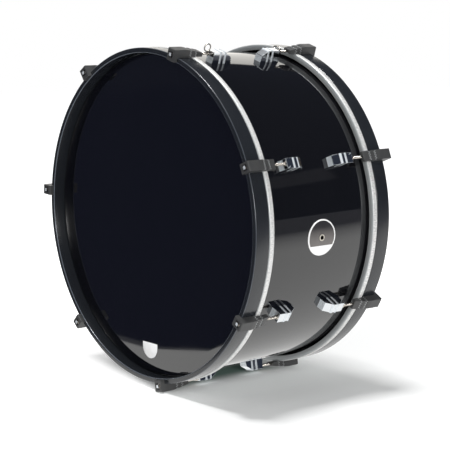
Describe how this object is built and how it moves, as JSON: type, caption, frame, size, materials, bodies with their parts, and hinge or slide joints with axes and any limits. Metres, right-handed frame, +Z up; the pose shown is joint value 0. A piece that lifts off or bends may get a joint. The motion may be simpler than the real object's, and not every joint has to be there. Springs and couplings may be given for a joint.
{
  "type": "marching bass drum",
  "caption": "Marching bass drum, 26 by 12 inches, black, with claws, tension rods, bridge lugs and carrying eyes.",
  "frame": {"origin": "centre of the drum, on its axis and midway between the heads", "axes": "+Y along the drum's axis from the front head to the rear head, +Z up as the drum stands, +X to the right of the front head"},
  "size_m": [0.7068, 0.3852, 0.7124],
  "materials": {
    "shell_lacquer": "high-gloss black lacquered wrap",
    "film": "glossy black polyester film",
    "hoop_black": "satin black enamel with a slight orange peel",
    "aluminium": "turned aluminium, fine marks round the rim",
    "claw_black": "satin black powder coat on a zinc casting",
    "chrome": "polished chrome plate",
    "nickel": "bright nickel plate, slightly warm",
    "badge_plate": "polished plate with a printed white rim and foot",
    "label_white": "plain white adhesive label"
  },
  "bodies": {
    "drum": {"shell": "shell_lacquer", "badge": "badge_plate", "vent_eyelet": "nickel", "head_label": "label_white", "front_head_film": "film", "front_flesh_hoop": "aluminium", "front_hoop": "hoop_black", "front_lug_1": "chrome", "front_lug_2": "chrome", "front_lug_3": "chrome", "front_lug_4": "chrome", "front_lug_5": "chrome", "front_lug_6": "chrome", "front_lug_7": "chrome", "rear_head_film": "film", "rear_flesh_hoop": "aluminium", "rear_hoop": "hoop_black", "rear_lug_1": "chrome", "rear_lug_2": "chrome", "rear_lug_3": "chrome", "rear_lug_4": "chrome", "rear_lug_5": "chrome", "rear_lug_6": "chrome", "rear_lug_7": "chrome"},
    "front_claw_1": {"front_claw_1": "claw_black"},
    "front_rod_1": {"front_tension_rod_1": "nickel"},
    "front_claw_2": {"front_claw_2": "claw_black"},
    "front_rod_2": {"front_tension_rod_2": "nickel"},
    "front_claw_3": {"front_claw_3": "claw_black"},
    "front_rod_3": {"front_tension_rod_3": "nickel"},
    "front_claw_4": {"front_claw_4": "claw_black"},
    "front_rod_4": {"front_tension_rod_4": "nickel"},
    "front_claw_5": {"front_claw_5": "claw_black"},
    "front_rod_5": {"front_tension_rod_5": "nickel"},
    "front_claw_6": {"front_claw_6": "claw_black"},
    "front_rod_6": {"front_tension_rod_6": "nickel"},
    "front_claw_7": {"front_claw_7": "claw_black"},
    "front_rod_7": {"front_tension_rod_7": "nickel"},
    "rear_claw_1": {"rear_claw_1": "claw_black"},
    "rear_rod_1": {"rear_tension_rod_1": "nickel"},
    "rear_claw_2": {"rear_claw_2": "claw_black"},
    "rear_rod_2": {"rear_tension_rod_2": "nickel"},
    "rear_claw_3": {"rear_claw_3": "claw_black"},
    "rear_rod_3": {"rear_tension_rod_3": "nickel"},
    "rear_claw_4": {"rear_claw_4": "claw_black"},
    "rear_rod_4": {"rear_tension_rod_4": "nickel"},
    "rear_claw_5": {"rear_claw_5": "claw_black"},
    "rear_rod_5": {"rear_tension_rod_5": "nickel"},
    "rear_claw_6": {"rear_claw_6": "claw_black"},
    "rear_rod_6": {"rear_tension_rod_6": "nickel"},
    "rear_claw_7": {"rear_claw_7": "claw_black"},
    "rear_rod_7": {"rear_tension_rod_7": "nickel"},
    "front_eye": {"front_carrying_eye": "nickel"},
    "rear_eye": {"rear_carrying_eye": "nickel"}
  },
  "joints": [
    {"name": "front_claw_1_slide", "type": "slide", "parent": "drum", "child": "front_claw_1", "axis": [0, -1, 0], "range_m": [0, 0.0172]},
    {"name": "front_rod_1_turn", "type": "hinge", "parent": "front_claw_1", "child": "front_rod_1", "pos_m": [0.32436, -0.19, 0.12882], "axis": [0, -1, 0], "range_deg": [0, 5850]},
    {"name": "front_claw_2_slide", "type": "slide", "parent": "drum", "child": "front_claw_2", "axis": [0, -1, 0], "range_m": [0, 0.0172]},
    {"name": "front_rod_2_turn", "type": "hinge", "parent": "front_claw_2", "child": "front_rod_2", "pos_m": [0.10152, -0.19, 0.33391], "axis": [0, -1, 0], "range_deg": [0, 5850]},
    {"name": "front_claw_3_slide", "type": "slide", "parent": "drum", "child": "front_claw_3", "axis": [0, -1, 0], "range_m": [0, 0.0172]},
    {"name": "front_rod_3_turn", "type": "hinge", "parent": "front_claw_3", "child": "front_rod_3", "pos_m": [-0.19776, -0.19, 0.28756], "axis": [0, -1, 0], "range_deg": [0, 5850]},
    {"name": "front_claw_4_slide", "type": "slide", "parent": "drum", "child": "front_claw_4", "axis": [0, -1, 0], "range_m": [0, 0.0172]},
    {"name": "front_rod_4_turn", "type": "hinge", "parent": "front_claw_4", "child": "front_rod_4", "pos_m": [-0.34813, -0.19, 0.02467], "axis": [0, -1, 0], "range_deg": [0, 5850]},
    {"name": "front_claw_5_slide", "type": "slide", "parent": "drum", "child": "front_claw_5", "axis": [0, -1, 0], "range_m": [0, 0.0172]},
    {"name": "front_rod_5_turn", "type": "hinge", "parent": "front_claw_5", "child": "front_rod_5", "pos_m": [-0.23634, -0.19, -0.25679], "axis": [0, -1, 0], "range_deg": [0, 5850]},
    {"name": "front_claw_6_slide", "type": "slide", "parent": "drum", "child": "front_claw_6", "axis": [0, -1, 0], "range_m": [0, 0.0172]},
    {"name": "front_rod_6_turn", "type": "hinge", "parent": "front_claw_6", "child": "front_rod_6", "pos_m": [0.05341, -0.19, -0.34489], "axis": [0, -1, 0], "range_deg": [0, 5850]},
    {"name": "front_claw_7_slide", "type": "slide", "parent": "drum", "child": "front_claw_7", "axis": [0, -1, 0], "range_m": [0, 0.0172]},
    {"name": "front_rod_7_turn", "type": "hinge", "parent": "front_claw_7", "child": "front_rod_7", "pos_m": [0.30295, -0.19, -0.17328], "axis": [0, -1, 0], "range_deg": [0, 5850]},
    {"name": "rear_claw_1_slide", "type": "slide", "parent": "drum", "child": "rear_claw_1", "axis": [0, 1, 0], "range_m": [0, 0.0172]},
    {"name": "rear_rod_1_turn", "type": "hinge", "parent": "rear_claw_1", "child": "rear_rod_1", "pos_m": [0.32436, 0.19, 0.12882], "axis": [0, 1, 0], "range_deg": [0, 5850]},
    {"name": "rear_claw_2_slide", "type": "slide", "parent": "drum", "child": "rear_claw_2", "axis": [0, 1, 0], "range_m": [0, 0.0172]},
    {"name": "rear_rod_2_turn", "type": "hinge", "parent": "rear_claw_2", "child": "rear_rod_2", "pos_m": [0.10152, 0.19, 0.33391], "axis": [0, 1, 0], "range_deg": [0, 5850]},
    {"name": "rear_claw_3_slide", "type": "slide", "parent": "drum", "child": "rear_claw_3", "axis": [0, 1, 0], "range_m": [0, 0.0172]},
    {"name": "rear_rod_3_turn", "type": "hinge", "parent": "rear_claw_3", "child": "rear_rod_3", "pos_m": [-0.19776, 0.19, 0.28756], "axis": [0, 1, 0], "range_deg": [0, 5850]},
    {"name": "rear_claw_4_slide", "type": "slide", "parent": "drum", "child": "rear_claw_4", "axis": [0, 1, 0], "range_m": [0, 0.0172]},
    {"name": "rear_rod_4_turn", "type": "hinge", "parent": "rear_claw_4", "child": "rear_rod_4", "pos_m": [-0.34813, 0.19, 0.02467], "axis": [0, 1, 0], "range_deg": [0, 5850]},
    {"name": "rear_claw_5_slide", "type": "slide", "parent": "drum", "child": "rear_claw_5", "axis": [0, 1, 0], "range_m": [0, 0.0172]},
    {"name": "rear_rod_5_turn", "type": "hinge", "parent": "rear_claw_5", "child": "rear_rod_5", "pos_m": [-0.23634, 0.19, -0.25679], "axis": [0, 1, 0], "range_deg": [0, 5850]},
    {"name": "rear_claw_6_slide", "type": "slide", "parent": "drum", "child": "rear_claw_6", "axis": [0, 1, 0], "range_m": [0, 0.0172]},
    {"name": "rear_rod_6_turn", "type": "hinge", "parent": "rear_claw_6", "child": "rear_rod_6", "pos_m": [0.05341, 0.19, -0.34489], "axis": [0, 1, 0], "range_deg": [0, 5850]},
    {"name": "rear_claw_7_slide", "type": "slide", "parent": "drum", "child": "rear_claw_7", "axis": [0, 1, 0], "range_m": [0, 0.0172]},
    {"name": "rear_rod_7_turn", "type": "hinge", "parent": "rear_claw_7", "child": "rear_rod_7", "pos_m": [0.30295, 0.19, -0.17328], "axis": [0, 1, 0], "range_deg": [0, 5850]},
    {"name": "front_eye_swing", "type": "hinge", "parent": "drum", "child": "front_eye", "pos_m": [0.10152, -0.095, 0.33391], "axis": [0, -1, 0], "range_deg": [-95, 95]},
    {"name": "rear_eye_swing", "type": "hinge", "parent": "drum", "child": "rear_eye", "pos_m": [0.10152, 0.095, 0.33391], "axis": [0, 1, 0], "range_deg": [-20, 170]}
  ],
  "couplings": [
    {"joint": "front_rod_1_turn", "follows": "front_claw_1_slide", "rad_per_m": 5936.9},
    {"joint": "front_rod_2_turn", "follows": "front_claw_2_slide", "rad_per_m": 5936.9},
    {"joint": "front_rod_3_turn", "follows": "front_claw_3_slide", "rad_per_m": 5936.9},
    {"joint": "front_rod_4_turn", "follows": "front_claw_4_slide", "rad_per_m": 5936.9},
    {"joint": "front_rod_5_turn", "follows": "front_claw_5_slide", "rad_per_m": 5936.9},
    {"joint": "front_rod_6_turn", "follows": "front_claw_6_slide", "rad_per_m": 5936.9},
    {"joint": "front_rod_7_turn", "follows": "front_claw_7_slide", "rad_per_m": 5936.9},
    {"joint": "rear_rod_1_turn", "follows": "rear_claw_1_slide", "rad_per_m": 5936.9},
    {"joint": "rear_rod_2_turn", "follows": "rear_claw_2_slide", "rad_per_m": 5936.9},
    {"joint": "rear_rod_3_turn", "follows": "rear_claw_3_slide", "rad_per_m": 5936.9},
    {"joint": "rear_rod_4_turn", "follows": "rear_claw_4_slide", "rad_per_m": 5936.9},
    {"joint": "rear_rod_5_turn", "follows": "rear_claw_5_slide", "rad_per_m": 5936.9},
    {"joint": "rear_rod_6_turn", "follows": "rear_claw_6_slide", "rad_per_m": 5936.9},
    {"joint": "rear_rod_7_turn", "follows": "rear_claw_7_slide", "rad_per_m": 5936.9}
  ]
}
